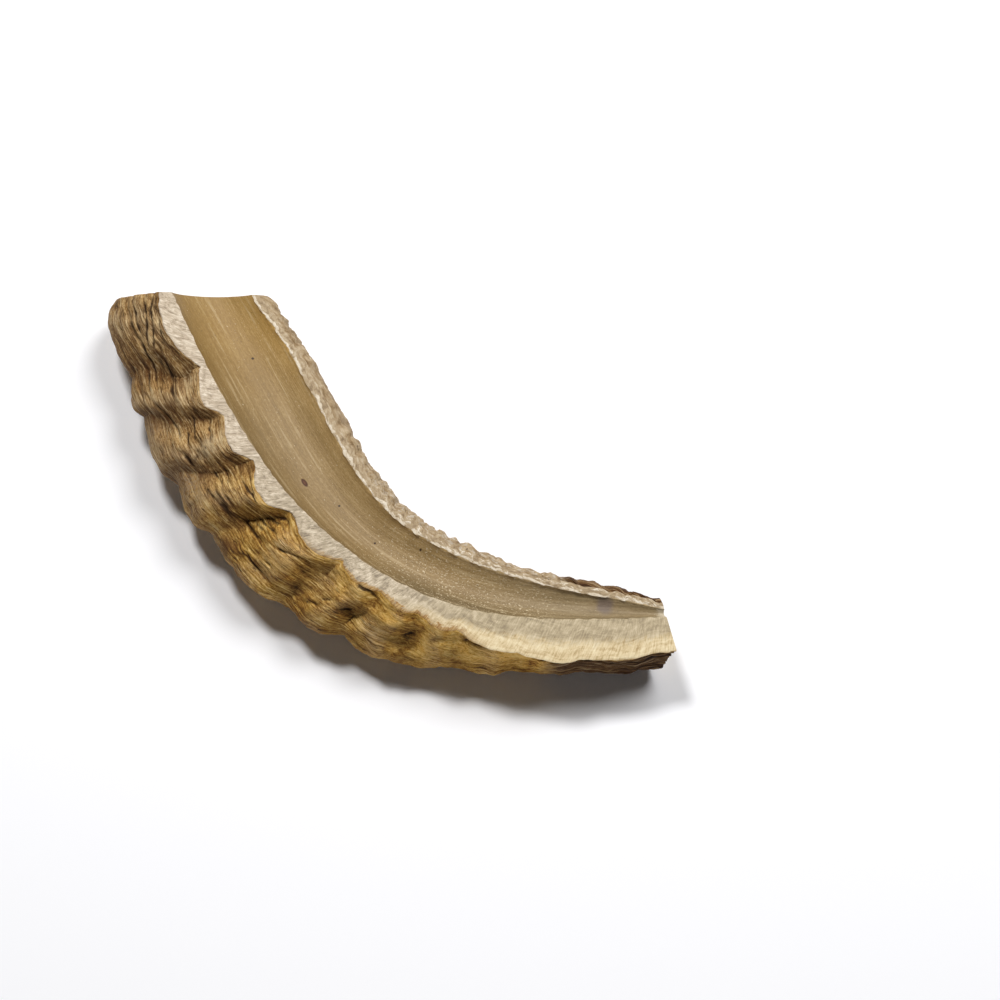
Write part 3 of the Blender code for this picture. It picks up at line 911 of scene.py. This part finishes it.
def rim_table():
    """Run, millimetres in from the outer edge, and share of the rim's width."""
    table = np.zeros((STATIONS, around, 3), np.float32)
    near_width, far_width = [
        np.linalg.norm(outside[:, side] - inside[:, side], axis=-1)[:, None] for side in (0, -1)
    ]
    fade_from, fade_to = LEAN_FADES
    faded = ease((rim_run[:, :1] - fade_from) / (fade_to - fade_from))
    lean = STROKE_LEAN + (STROKE_LEAN_AT_TIP - STROKE_LEAN) * faded
    for start, steps, width in (
        (starts["near_rim"], NEAR_RIM_STEPS[::-1] + (0.0,), near_width),
        (starts["far_rim"] - 1, (0.0,) + FAR_RIM_STEPS + (1.0,), far_width),
        (around - 1, (1.0,), near_width),
    ):
        steps = np.array(steps)[None] + 0 * rim_run[:, :1]
        length, inward = rim_run[:, :1] + 0 * steps, steps * width
        table[:, start:start + steps.shape[1]] = np.stack([length - lean * inward, inward, steps], -1)
    return table


hollow = crack_mask * np.clip(0.75 + 0.5 * layered(run / 2.2, down / 1.2, 107), 0, 1)
pit_threads = ease((layered(run / 1.4, down / 0.6, 109) + 0.1) / 0.5)
hollow = np.maximum(hollow, 0.6 * pit_mask ** 2 * pit_threads)
side = across / across[:, -1:]
MARKS = {
    "wall_at": ring_table(wall=np.stack([run, down, up_back], -1)),
    "wall_marks": ring_table(wall=np.stack([hollow, shade_and_stains, fibre_mask], -1)),
    "wall_tints": ring_table(wall=np.stack([grey, gold, pale_and_highlight], -1)),
    "wall_strip": ring_table(wall=np.stack([strip, bark, 0 * strip], -1)),
    "rim_at": rim_table(),
    "trough_side": ring_table(trough=np.stack([side, 0 * side, 0 * side], -1)[:, ::-1]),
    "trough_at": ring_table(trough=np.stack([inside_run, across, from_scab], -1)[:, ::-1]),
}
for name, table in MARKS.items():
    write_attribute(name, table)
print("written:", list(MARKS))

# %% [markdown]
# ## Fields for the finishes
# A finish is a chain of nodes. Writing each chain out in full would hide what it
# does, so a field is wrapped round one node's output. Fields add, subtract and
# multiply like numbers, and each sum becomes a Math node, so a finish reads like
# a recipe.

# %% A field that works like a number


class Field:
    """A number or colour that differs from point to point of a surface."""

    def __init__(self, socket):
        self.socket = socket
        self.tree = socket.id_data

    def __add__(self, other):
        return calc("ADD", self, other)

    def __sub__(self, other):
        return calc("SUBTRACT", self, other)

    def __rsub__(self, other):
        return calc("SUBTRACT", other, self)

    def __mul__(self, other):
        return calc("MULTIPLY", self, other)


def put(tree, kind, inputs, **settings):
    """Add a node, and fill its inputs or link them to fields."""
    made = tree.nodes.new("ShaderNode" + kind)
    for name, value in settings.items():
        setattr(made, name, value)
    for name, value in inputs.items():
        if isinstance(value, Field):
            tree.links.new(value.socket, made.inputs[name])
        else:
            made.inputs[name].default_value = value
    return made


def field(tree, kind, inputs, output=0, **settings):
    return Field(put(tree, kind, inputs, **settings).outputs[output])


def calc(operation, a, b=0.0, clamp=False):
    tree = a.tree if isinstance(a, Field) else b.tree
    return field(tree, "Math", {0: a, 1: b}, operation=operation, use_clamp=clamp)


print("a field adds, subtracts and multiplies")

# %% [markdown]
# The other helpers read a mask, stretch a place, make noise, turn a number into a
# step or a colour, and mix two colours. The places are in millimetres, so every
# size in a finish is one that a ruler would give.

# %% Noise, steps and colours


def read(tree, name):
    return field(tree, "Attribute", {}, "Vector", attribute_name=name)


def split(vector):
    parts = put(vector.tree, "SeparateXYZ", {0: vector}).outputs
    return [Field(part) for part in parts]


def stretched(vector, scale):
    return field(vector.tree, "VectorMath", {0: vector, 1: scale}, operation="MULTIPLY")


def noise(vector, scale, detail=4.0, rough=0.55, bent=0.0):
    """Noise with bumps as long and wide as 1 / scale, in millimetres."""
    inputs = {"Vector": stretched(vector, scale), "Scale": 1.0, "Detail": detail}
    return field(vector.tree, "TexNoise", {**inputs, "Roughness": rough, "Distortion": bent}, "Fac")


def stronger(value, times):
    """The same noise with its swings about one half made larger."""
    return (value - 0.5) * times + 0.5


def above(value, low, high):
    """0 below low, 1 above high, and smooth between."""
    inputs = {"Value": value, "From Min": low, "From Max": high}
    return field(value.tree, "MapRange", inputs, interpolation_type="SMOOTHSTEP")


def within(value, rise_from, rise_to, fall_from, fall_to):
    """1 between a smooth rise and a smooth fall, 0 outside them."""
    return above(value, rise_from, rise_to) * above(value, fall_to, fall_from)


def ramp(value, stops):
    """A row of colours, read at this value."""
    made = put(value.tree, "ValToRGB", {0: value})
    elements = made.color_ramp.elements
    while len(elements) < len(stops):
        elements.new(0.5)
    for element, (at, colour) in zip(elements, stops):
        element.position = at
        element.color = (*colour, 1)
    return Field(made.outputs[0])


def mix(share, a, b):
    """Colour a where the share is 0 and colour b where it is 1."""
    a, b = [(*colour, 1) if isinstance(colour, tuple) else colour for colour in (a, b)]
    return field(share.tree, "Mix", {0: share, 6: a, 7: b}, 2, data_type="RGBA")


print("helpers ready")

# %% [markdown]
# Every finish starts from the same shader. A number that is the same all over is
# set on the shader itself, and a field is wired to it.

# %% Start a finish and wire its fields


def new_finish(name, roughness, specular):
    material = bpy.data.materials.new(name)
    material.use_nodes = True
    shader = material.node_tree.nodes["Principled BSDF"]
    shader.inputs["Roughness"].default_value = roughness
    shader.inputs["Specular IOR Level"].default_value = specular
    skin.materials.append(material)
    return material.node_tree, shader


def wire(value, shader, name):
    value.tree.links.new(value.socket, shader.inputs[name])


def press(height, depth, shader):
    """Fine relief of that depth in millimetres."""
    inputs = {"Height": height, "Distance": depth * MILLIMETRE, "Strength": 1.0}
    wire(field(height.tree, "Bump", inputs), shader, "Normal")


print("shader ready")

# %% [markdown]
# ## The outer wall: dry, fibrous, amber
# Weathered horn is amber where it is sound, nearly black in its cracks, and grey
# and chalky in bleached patches. The valleys are painted brown as shade, and the
# crests are painted pale as highlight. Streaks along the fibres carry most of the
# colour change. Noise that is forty times longer than wide makes them, and the
# masks lay the rest over it.

# %% Colours of the outer wall
WEATHERED = (
    (0.14, (0.070, 0.028, 0.007)),
    (0.34, (0.180, 0.090, 0.026)),
    (0.50, (0.355, 0.203, 0.070)),
    (0.66, (0.530, 0.350, 0.148)),
    (0.86, (0.760, 0.590, 0.350)),
)
AMBER = (
    (0.14, (0.080, 0.028, 0.004)),
    (0.34, (0.205, 0.088, 0.012)),
    (0.50, (0.400, 0.206, 0.035)),
    (0.66, (0.590, 0.355, 0.082)),
    (0.86, (0.800, 0.580, 0.230)),
)
GOLDEN = (
    (0.18, (0.100, 0.030, 0.004)),
    (0.32, (0.380, 0.170, 0.022)),
    (0.46, (0.740, 0.415, 0.080)),
    (0.80, (0.920, 0.660, 0.230)),
)
BARK = (
    (0.20, (0.020, 0.008, 0.003)),
    (0.48, (0.095, 0.042, 0.012)),
    (0.66, (0.270, 0.155, 0.060)),
    (0.88, (0.540, 0.400, 0.230)),
)
STRIP_TAN = (
    (0.10, (0.18, 0.110, 0.050)),
    (0.40, (0.36, 0.250, 0.132)),
    (0.85, (0.56, 0.440, 0.290)),
)
CRACK_BLACK = (0.026, 0.010, 0.003)
# brown for the painted valley shade, the stains and the fibre lines
SHADE_STAIN_FIBRE_BROWN = (0.085, 0.034, 0.008)
WEATHERED_GREY = (0.270, 0.195, 0.120)
# pale horn, and painted highlight on the crests
CHALKY_PALE_AND_HIGHLIGHT = (0.640, 0.500, 0.300)
STRIP_SCRAP = (0.60, 0.525, 0.42)
STRIP_SPOT = (0.085, 0.055, 0.030)
print("colours of the wall:", len(WEATHERED) + len(AMBER) + len(GOLDEN) + len(BARK) + len(STRIP_TAN))

# %% [markdown]
# The grain is made first, in nine sizes from the broad clouds to the specks. Sound
# amber takes over from the weathered brown with distance from the base, and the
# gold, pale, grey, strip and bark masks lay their own colours over that. The pale
# mask also carries the painted highlight on the crests.

# %% Grain and ground colours of the outer wall
# bumps per millimetre along, down and up the far side, detail, roughness, bending
WALL_GRAIN = (
    ((0.15, 2.1, 0.0), 7.0, 0.75, 0.4),  # threads
    ((0.10, 0.42, 0.0), 5.0, 0.6, 0.4),  # bands
    ((0.20, 0.24, 0.0), 6.0, 0.65, 0.5),  # clouds
    ((1.3, 2.1, 0.0), 5.0, 0.7),  # specks
    ((0.9, 2.6, 0.0), 7.0, 0.75, 0.8),  # grit
    ((0.060, 0.95, 0.0), 2.5, 0.55, 0.2),  # splits
)
BARK_GRAIN = ((0.05, 1.9, 0.0), 6.0, 0.7, 0.5)
STRIP_GRAIN = ((0.35, 0.0, 0.8), 5.0, 0.65)
SCRAP_GRAIN = ((0.5, 0.0, 1.1), 6.0, 0.7, 0.6)
SOUND_RUN = (55.0, 90.0)
SCRAP_RUN = (55.0, 85.0)
SPOT_RUN = (20.0, 70.0)


def far_strip_colour(at, run):
    """Tan horn with pale scraps and dark spots, which come in toward the tip."""
    colour = ramp(stronger(noise(at, *STRIP_GRAIN), 2.2), STRIP_TAN)
    scraps = noise(at, *SCRAP_GRAIN)
    colour = mix(above(scraps, 0.50, 0.60) * above(run, *SCRAP_RUN) * 0.75, colour, STRIP_SCRAP)
    return mix(above(scraps, 0.42, 0.34) * above(run, *SPOT_RUN) * 0.85, colour, STRIP_SPOT)


def wall_ground(at, value, threads, clouds, specks, grit):
    """The horn's own colours and the painted crest highlight, before the painted shade, stains and
    cracks, and where they are strip or gold.
    """
    grey, gold, pale_and_highlight = split(read(at.tree, "wall_tints"))
    strip, bark, _ = split(read(at.tree, "wall_strip"))
    run = split(at)[0]
    sound = above(run + clouds * 40.0, *SOUND_RUN)
    colour = mix(sound, ramp(value, WEATHERED), ramp(value, AMBER))
    colour = mix(gold, colour, ramp(stronger(clouds * 0.40 + grit * 0.60, 2.8), GOLDEN))
    # pale horn and painted highlight on the crests
    colour = mix(pale_and_highlight * above(threads, 0.36, 0.60) * 0.75, colour, CHALKY_PALE_AND_HIGHLIGHT)
    colour = mix(grey * above(specks, 0.36, 0.56) * 0.85, colour, WEATHERED_GREY)
    colour = mix(strip, colour, far_strip_colour(at, run))
    colour = mix(bark, colour, ramp(stronger(noise(at, *BARK_GRAIN), 3.2), BARK))
    return colour, strip, gold


print("sizes of grain:", len(WALL_GRAIN) + 3)

# %% [markdown]
# Painted shade in the valleys, together with the stains and the bark, darkens the
# wall most where the grain is dark already. Over it come the fibre lines, fine
# splits that end in the gold and in the far strip, and last the cracks that were
# pressed into the form. The same grain makes the fine relief.

# %% Finish of the outer wall


def finish_outer_wall():
    tree, shader = new_finish("outer_wall", 0.6, 0.16)
    at = read(tree, "wall_at")
    threads, bands, clouds, specks, grit, split_field = [noise(at, *row) for row in WALL_GRAIN]
    crack, shade_and_stains, fibre = split(read(tree, "wall_marks"))
    value = threads * 0.50 + bands * 0.14 + clouds * 0.20 + specks * 0.16
    value = stronger(value, 3.2) + (grit - 0.5)
    colour, strip, gold = wall_ground(at, value, threads, clouds, specks, grit)

    # painted shade in the valleys, with the stains and the bark, darkest where the grain is dark
    shade_and_stain_share = calc("ADD", shade_and_stains * above(value, 0.85, 0.30) * 0.65, shade_and_stains * 0.32, clamp=True)
    colour = mix(shade_and_stain_share, colour, SHADE_STAIN_FIBRE_BROWN)
    colour = mix(fibre * above(threads, 0.60, 0.40) * 0.75, colour, SHADE_STAIN_FIBRE_BROWN)
    off_split = calc("ABSOLUTE", split_field - 0.5)
    splits = above(off_split, 0.018, 0.003) * above(bands, 0.54, 0.40)
    splits = splits * (1.0 - calc("MAXIMUM", strip, gold))
    colour = mix(splits * 0.85, colour, CRACK_BLACK)
    broken = crack + (specks - 0.5) * 0.6
    colour = mix(above(broken, 0.25, 0.72) * 0.92, colour, CRACK_BLACK)

    wire(colour, shader, "Base Color")
    wire(above(value, 0.35, 0.75) * -0.20 + 0.74, shader, "Roughness")
    press(threads * 0.7 + specks * 0.3 - splits * 0.5, 0.45, shader)
    return len(tree.nodes)


print("outer wall nodes:", finish_outer_wall())

# %% [markdown]
# ## The sawn rims: pale, with saw marks
# Freshly sawn horn is creamy, and the saw leaves fine strokes straight across
# the rim. Toward the base they have turned whitish, in the bend they are
# mottled with grey, and at the tip end the inner half is greyish while the
# outer half stays creamy. Noise that is long across the rim and short along it
# gives the strokes.

# %% Finish of the near rim
RIM_WHITE = ((0.20, (0.33, 0.255, 0.18)), (0.5, (0.575, 0.465, 0.335)), (0.85, (0.84, 0.74, 0.60)))
RIM_MOTTLED = ((0.20, (0.24, 0.190, 0.13)), (0.5, (0.50, 0.405, 0.28)), (0.85, (0.80, 0.69, 0.53)))
RIM_GREIGE = ((0.20, (0.22, 0.170, 0.100)), (0.5, (0.44, 0.350, 0.215)), (0.85, (0.68, 0.57, 0.39)))
RIM_CREAM = ((0.20, (0.36, 0.235, 0.09)), (0.5, (0.66, 0.520, 0.300)), (0.85, (0.86, 0.75, 0.51)))
RIM_STAIN = (0.26, 0.125, 0.032)
RIM_STAIN_PALE = (0.50, 0.33, 0.13)
MOTTLED_RUN = (38.0, 70.0)
END_RUN = (92.0, 122.0)
STAIN_RUN = (66.0, 90.0, 116.0, 128.0)
CALM_RELIEF_RUN = (80.0, 115.0)


def finish_near_rim():
    tree, shader = new_finish("near_rim", 0.62, 0.3)
    at = read(tree, "rim_at")
    run, _, share = split(at)
    strokes = noise(at, (2.2, 0.42, 0.0), 5.0, 0.75, 0.5)
    mottle = noise(at, (0.60, 0.50, 0.0), 7.0, 0.72, 0.8)
    layers = noise(at, (0.10, 0.55, 0.0), 6.0, 0.6, 1.2)
    fine_strokes = noise(at, (2.4, 0.30, 0.0), 5.0, 0.7, 0.5)
    value = stronger(strokes * 0.50 + mottle * 0.50, 3.1)
    smooth_value = stronger(fine_strokes * 0.36 + mottle * 0.34 + layers * 0.3, 2.7)
    colour = mix(above(run, *MOTTLED_RUN), ramp(value, RIM_WHITE), ramp(value, RIM_MOTTLED))
    half_way = above(share + (mottle - 0.5) * 0.7, 0.30, 0.60)
    end = mix(half_way, ramp(smooth_value, RIM_CREAM), ramp(smooth_value, RIM_GREIGE))
    colour = mix(above(run, *END_RUN), colour, end)
    reach = stronger(mottle, 2.2) * 0.42
    stain = within(run, *STAIN_RUN) * above(reach - share, 0.0, 0.10)
    colour = mix(stain, colour, mix(above(strokes, 0.35, 0.65), RIM_STAIN, RIM_STAIN_PALE))
    wire(colour, shader, "Base Color")
    press(mix(above(run, *CALM_RELIEF_RUN), value, smooth_value * 0.5), 0.14, shader)
    return len(tree.nodes)


print("near rim nodes:", finish_near_rim())

# %% [markdown]
# The far rim is only two millimetres wide, and it broke as it was sawn: a thin
# white line shows where the saw really cut, wandering and missing in places,
# beside tan horn that tore.

# %% Finish of the far rim
TORN_TAN = ((0.2, (0.22, 0.150, 0.08)), (0.5, (0.42, 0.31, 0.185)), (0.8, (0.56, 0.46, 0.32)))
SAWN_WHITE = ((0.1, (0.50, 0.40, 0.28)), (0.4, (0.64, 0.54, 0.40)), (0.8, (0.82, 0.74, 0.61)))
WHITE_LINE = (0.66, 0.74, 1.02, 1.12)
LINE_GAP = (31.0, 33.5, 37.5, 40.0)
WHITE_SCRAP_RUN = (70.0, 95.0)


def finish_far_rim():
    tree, shader = new_finish("far_rim", 0.65, 0.25)
    at = read(tree, "rim_at")
    run, _, share = split(at)
    torn = stronger(noise(at, (0.5, 1.0, 0.0), 6.0, 0.65, 0.5), 1.8)
    wander = noise(at, (0.14, 0.0, 0.0), 5.0, 0.65)
    kept = above(noise(at, (0.30, 0.5, 0.0), 4.0, 0.6), 0.40, 0.50)
    line = within(share + (wander - 0.5) * 2.0, *WHITE_LINE) * kept
    shown = line * (1.0 - within(run, *LINE_GAP))
    scraps = above(run, *WHITE_SCRAP_RUN) * above(torn, 0.56, 0.72)
    shown = calc("MAXIMUM", shown, scraps * 0.8)
    wire(mix(shown, ramp(torn, TORN_TAN), ramp(torn, SAWN_WHITE)), shader, "Base Color")
    press(torn, 0.2, shader)
    return len(tree.nodes)


print("far rim nodes:", finish_far_rim())

# %% [markdown]
# ## The trough: smooth tan with long streaks
# The inside grew against bone, so it is smooth and silky, tan to brown, with
# faint light streaks along its length. Light flecks gather toward the tip, a few
# dark pores are scattered about, and a small brown scab and a purplish stain are
# marks of this one piece.

# %% Colours and marks of the trough
TROUGH_TAN = ((0.15, (0.185, 0.116, 0.042)), (0.5, (0.277, 0.181, 0.073)), (0.85, (0.42, 0.30, 0.145)))
TROUGH_GOLD = ((0.15, (0.225, 0.133, 0.036)), (0.5, (0.315, 0.192, 0.060)), (0.85, (0.45, 0.31, 0.12)))
TROUGH_END = ((0.15, (0.155, 0.110, 0.052)), (0.5, (0.275, 0.198, 0.100)), (0.85, (0.42, 0.33, 0.19)))
TROUGH_SHADE = (0.12, 0.085, 0.04)
STREAK_PALE = (0.52, 0.40, 0.24)
FLECK_PALE = (0.70, 0.58, 0.38)
DOT_DARK = (0.12, 0.075, 0.035)
STAIN_PURPLE = (0.170, 0.128, 0.112)
TORN_PALE = (0.52, 0.44, 0.31)
PORE_DARK = (0.05, 0.025, 0.01)
SCAB_RIM, SCAB_MIDDLE = (0.070, 0.022, 0.006), (0.15, 0.055, 0.018)
TAN_RUN, TROUGH_END_RUN, TORN_RUN = (8.0, 48.0), (105.0, 150.0), (173.0, 175.0)
SHADED_RUN = (85.0, 108.0, 120.0, 138.0)
DENSE_RUN = (70.0, 105.0, 135.0, 150.0)
# run, across, half length, half width
PURPLE_STAIN = (154.0, 1.4, 2.4, 3.0)
PORES = (
    (21.0, 2.2, 0.40, 0.36),
    (71.1, 1.0, 0.36, 0.32),
    (86.8, 0.2, 0.36, 0.32),
    (99.4, 5.0, 0.42, 0.36),
)


def oval(at, row):
    """Distance from the middle of an oval mark, 1 at its edge."""
    run, across, half_length, half_width = row
    moved = field(at.tree, "VectorMath", {0: at, 1: (run, across, 0.0)}, operation="SUBTRACT")
    scaled = stretched(moved, (1 / half_length, 1 / half_width, 0.0))
    return field(at.tree, "VectorMath", {0: scaled}, "Value", operation="LENGTH")


def trough_marks(at, run, clouds, grains, scab, colour):
    """Streaks, flecks, dots, the stain, pores and the scab, laid over the ground colour."""
    long_field = noise(at, (0.030, 1.1, 0.0), 3.0, 0.5, 0.3)
    streaks = above(long_field, 0.57, 0.66) * above(clouds, 0.40, 0.52)
    colour = mix(streaks * 0.32, colour, STREAK_PALE)
    fleck_field = noise(at, (1.3, 2.4, 0.0), 4.0, 0.75, 0.6) + within(run, *DENSE_RUN) * 0.07
    colour = mix(above(fleck_field, 0.64, 0.69) * 0.85, colour, FLECK_PALE)
    dots = above(noise(at, (1.3, 1.6, 0.7), 2.0, 0.5), 0.30, 0.25)
    colour = mix(dots * 0.6, colour, DOT_DARK)
    stain = above(oval(at, PURPLE_STAIN) + clouds, 1.6, 1.0)
    colour = mix(stain * 0.7, colour, STAIN_PURPLE)
    colour = mix(above(run + grains * 8.0, *TORN_RUN), colour, TORN_PALE)
    for pore in PORES:
        colour = mix(above(oval(at, pore), 1.1, 0.7), colour, PORE_DARK)
    colour = mix(above(scab, 1.15, 0.85), colour, SCAB_RIM)
    return mix(above(scab, 0.60, 0.35) * 0.6, colour, SCAB_MIDDLE)


print("pores:", len(PORES))

# %% [markdown]
# The lamps stand behind the horn, so the steep far side of the trough would fall
# into shade and the near side would catch the light. Painted light lifts the far
# side and painted shade darkens the near one, most of all in the bend. One number
# that runs across the trough evens them out this way, and it is worked out from
# the form, so it stays put from any side.

# %% Finish of the trough
# painted light on the far side of the trough, painted shade on the near side
PAINTED_SIDE_LIGHT = {"From Min": -1.0, "From Max": 1.0, "To Min": 0.76, "To Max": 1.28}


def finish_trough():
    tree, shader = new_finish("trough", 0.5, 0.3)
    at = read(tree, "trough_at")
    run, across, scab = split(at)
    streaks = noise(at, (0.030, 1.1, 0.0), 6.0, 0.7, 0.3)
    clouds = noise(at, (0.09, 0.16, 0.0), 5.0)
    grains = noise(at, (0.9, 2.6, 0.0), 5.0, 0.7)
    value = stronger(streaks * 0.42 + clouds * 0.18 + grains * 0.4, 2.2)
    colour = mix(above(run, *TAN_RUN), ramp(value, TROUGH_GOLD), ramp(value, TROUGH_TAN))
    colour = mix(above(run, *TROUGH_END_RUN), colour, ramp(value, TROUGH_END))

    side = split(read(tree, "trough_side"))[0]
    # painted light toward the far side, painted shade toward the near side
    painted_side_light = field(tree, "MapRange", {"Value": side, **PAINTED_SIDE_LIGHT}) + above(side, 0.55, 1.0) * 0.45
    colour = field(tree, "VectorMath", {0: colour, "Scale": painted_side_light}, operation="SCALE")
    # painted shade on the near side in the bend
    shaded = within(run, *SHADED_RUN) * above(across, 0.5, -5.0)
    colour = mix(shaded * 0.65, colour, TROUGH_SHADE)
    colour = trough_marks(at, run, clouds, grains, scab, colour)
    wire(colour, shader, "Base Color")
    wire(value * 0.2 + 0.42, shader, "Roughness")
    press(value, 0.10, shader)
    return len(tree.nodes)


print("trough nodes:", finish_trough())

# %% [markdown]
# ## The two sawn ends
# Both ends show the thickness of the horn in tan and creamy layers, with coarser
# saw strokes than the long cut. They lie where few people look, but a piece in the
# hand is turned over, so they get the same care.

# %% Finish of the sawn ends
END_TAN = ((0.3, (0.22, 0.15, 0.08)), (0.5, (0.44, 0.33, 0.19)), (0.7, (0.64, 0.53, 0.36)))


def finish_sawn_end():
    tree, shader = new_finish("sawn_end", 0.68, 0.3)
    place = field(tree, "TexCoord", {}, "Object")
    strokes = noise(place, (300.0, 300.0, 2200.0), 4.0, 0.6, 0.3)
    layers = noise(place, (420.0, 420.0, 420.0), 4.0, 0.6, 0.5)
    wire(ramp(strokes * 0.5 + layers * 0.5, END_TAN), shader, "Base Color")
    press(strokes, 0.2, shader)
    return len(tree.nodes)


print("sawn end nodes:", finish_sawn_end())
print("finishes on the horn:", [material.name for material in skin.materials])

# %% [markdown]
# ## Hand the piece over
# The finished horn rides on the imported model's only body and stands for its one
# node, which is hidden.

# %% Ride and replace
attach(horn, "root")
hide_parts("horn")
